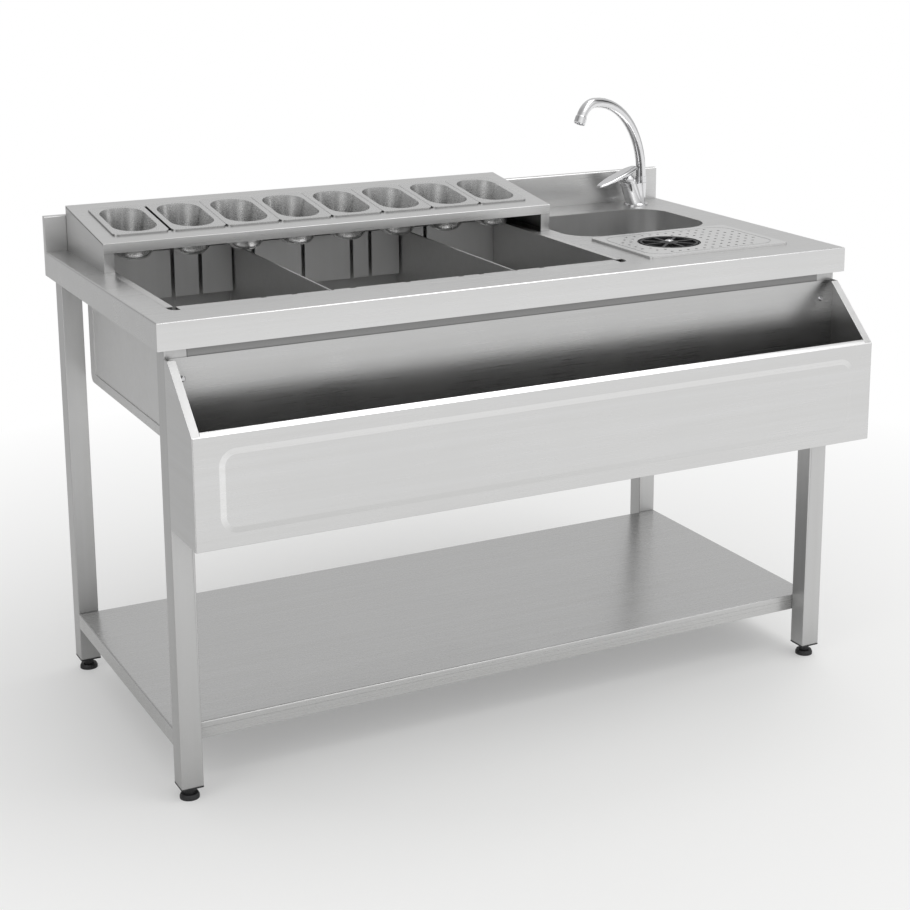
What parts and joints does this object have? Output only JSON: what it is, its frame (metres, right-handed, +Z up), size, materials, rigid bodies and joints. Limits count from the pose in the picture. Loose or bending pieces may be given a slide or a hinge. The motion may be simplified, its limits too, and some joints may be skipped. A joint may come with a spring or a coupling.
{
  "type": "bar station",
  "caption": "Stainless bar station with ice well, sloping pan rail, sink with swivel tap, glass rinser, drip plate, front bottle trough and lower shelf.",
  "frame": {"origin": "on the floor, under the middle of the whole object's box", "axes": "+X along the length, sink and tap end at +X; +Y to the backsplash; bottle trough at -Y; +Z up"},
  "size_m": [1.4, 0.8132, 1.111],
  "materials": {
    "worktop_steel": "brushed along the length",
    "well_steel": "brushed, satin",
    "rail_steel": "brushed along the length",
    "pan_steel": "drawn sheet, semi-bright",
    "frame_steel": "satin tube and channel",
    "sink_steel": "drawn sheet, satin",
    "tap_chrome": "polished",
    "fittings": "bright",
    "black_plastic": "moulded, satin",
    "white_plastic": "moulded"
  },
  "bodies": {
    "station": {"worktop": "worktop_steel", "backsplash": "worktop_steel", "ice_well_wrap": "well_steel", "ice_well_side_left": "well_steel", "ice_well_side_right": "well_steel", "well_comb_front": "worktop_steel", "well_comb_rear": "well_steel", "divider_left": "well_steel", "divider_right": "well_steel", "well_drain": "fittings", "sink_bowl": "sink_steel", "sink_waste": "fittings", "drip_basin": "sink_steel", "basin_drain": "fittings", "rinser_cup": "black_plastic", "rinser_valve": "fittings", "drain_nuts": "white_plastic", "tap_body": "tap_chrome", "tap_shank": "fittings", "tap_nut": "fittings", "speed_rail_trough": "rail_steel", "speed_rail_end_left": "rail_steel", "speed_rail_end_right": "rail_steel", "speed_rail_screws": "fittings", "leg_front_left": "frame_steel", "leg_front_right": "frame_steel", "leg_rear_left": "frame_steel", "leg_rear_right": "frame_steel", "leg_caps": "black_plastic", "frame_front_rail": "frame_steel", "frame_rear_rail": "frame_steel", "frame_left_rail": "frame_steel", "frame_right_rail": "frame_steel", "frame_cross_rail": "frame_steel", "shelf": "worktop_steel", "shelf_stiffener": "frame_steel", "shelf_bolts": "fittings"},
    "pan_rail": {"pan_rail_top": "rail_steel", "pan_rail_side_left": "rail_steel", "pan_rail_side_right": "rail_steel"},
    "drip_plate": {"drip_plate": "worktop_steel"},
    "sink_strainer": {"sink_strainer": "fittings"},
    "rinser_head": {"rinser_star": "black_plastic", "rinser_nozzle": "fittings"},
    "spout": {"tap_spout": "tap_chrome", "spout_aerator": "tap_chrome"},
    "tap_cap": {"tap_cap": "tap_chrome"},
    "tap_lever": {"tap_lever": "tap_chrome"},
    "pan_1": {"pan_1": "pan_steel"},
    "pan_2": {"pan_2": "pan_steel"},
    "pan_3": {"pan_3": "pan_steel"},
    "pan_4": {"pan_4": "pan_steel"},
    "pan_5": {"pan_5": "pan_steel"},
    "pan_6": {"pan_6": "pan_steel"},
    "pan_7": {"pan_7": "pan_steel"},
    "pan_8": {"pan_8": "pan_steel"},
    "foot_front_left": {"foot_front_left": "black_plastic"},
    "foot_front_right": {"foot_front_right": "black_plastic"},
    "foot_rear_left": {"foot_rear_left": "black_plastic"},
    "foot_rear_right": {"foot_rear_right": "black_plastic"}
  },
  "joints": [
    {"name": "pan_rail_lift", "type": "slide", "parent": "station", "child": "pan_rail", "axis": [0, 0, 1], "range_m": [0, 0.15]},
    {"name": "drip_plate_lift", "type": "slide", "parent": "station", "child": "drip_plate", "axis": [0, 0, 1], "range_m": [0, 0.1]},
    {"name": "strainer_lift", "type": "slide", "parent": "station", "child": "sink_strainer", "axis": [0, 0, 1], "range_m": [0, 0.16]},
    {"name": "rinser_press", "type": "slide", "parent": "station", "child": "rinser_head", "axis": [0, 0, -1], "range_m": [0, 0.008], "stiffness_N_per_m": 800, "springref_m": -0.006},
    {"name": "spout_swivel", "type": "hinge", "parent": "station", "child": "spout", "pos_m": [0.62669, 0.34134, 0.908], "axis": [0, 0, 1], "continuous": true},
    {"name": "mixer_turn", "type": "hinge", "parent": "station", "child": "tap_cap", "pos_m": [0.60722, 0.33348, 0.86], "axis": [-0.4209, -0.1701, 0.891], "range_deg": [-45, 45]},
    {"name": "lever_lift", "type": "hinge", "parent": "tap_cap", "child": "tap_lever", "pos_m": [0.58015, 0.32254, 0.91729], "axis": [-0.3746, 0.9272, 0], "range_deg": [0, 25]},
    {"name": "pan_1_lift", "type": "slide", "parent": "pan_rail", "child": "pan_1", "axis": [0, -0.1347, 0.9909], "range_m": [0, 0.1]},
    {"name": "pan_2_lift", "type": "slide", "parent": "pan_rail", "child": "pan_2", "axis": [0, -0.1347, 0.9909], "range_m": [0, 0.1]},
    {"name": "pan_3_lift", "type": "slide", "parent": "pan_rail", "child": "pan_3", "axis": [0, -0.1347, 0.9909], "range_m": [0, 0.1]},
    {"name": "pan_4_lift", "type": "slide", "parent": "pan_rail", "child": "pan_4", "axis": [0, -0.1347, 0.9909], "range_m": [0, 0.1]},
    {"name": "pan_5_lift", "type": "slide", "parent": "pan_rail", "child": "pan_5", "axis": [0, -0.1347, 0.9909], "range_m": [0, 0.1]},
    {"name": "pan_6_lift", "type": "slide", "parent": "pan_rail", "child": "pan_6", "axis": [0, -0.1347, 0.9909], "range_m": [0, 0.1]},
    {"name": "pan_7_lift", "type": "slide", "parent": "pan_rail", "child": "pan_7", "axis": [0, -0.1347, 0.9909], "range_m": [0, 0.1]},
    {"name": "pan_8_lift", "type": "slide", "parent": "pan_rail", "child": "pan_8", "axis": [0, -0.1347, 0.9909], "range_m": [0, 0.1]},
    {"name": "foot_front_left_turn", "type": "hinge", "parent": "station", "child": "foot_front_left", "pos_m": [-0.665, -0.2584, 0.025], "axis": [0, 0, 1], "continuous": true},
    {"name": "foot_front_right_turn", "type": "hinge", "parent": "station", "child": "foot_front_right", "pos_m": [0.665, -0.2584, 0.025], "axis": [0, 0, 1], "continuous": true},
    {"name": "foot_rear_left_turn", "type": "hinge", "parent": "station", "child": "foot_rear_left", "pos_m": [-0.665, 0.3716, 0.025], "axis": [0, 0, 1], "continuous": true},
    {"name": "foot_rear_right_turn", "type": "hinge", "parent": "station", "child": "foot_rear_right", "pos_m": [0.665, 0.3716, 0.025], "axis": [0, 0, 1], "continuous": true}
  ]
}
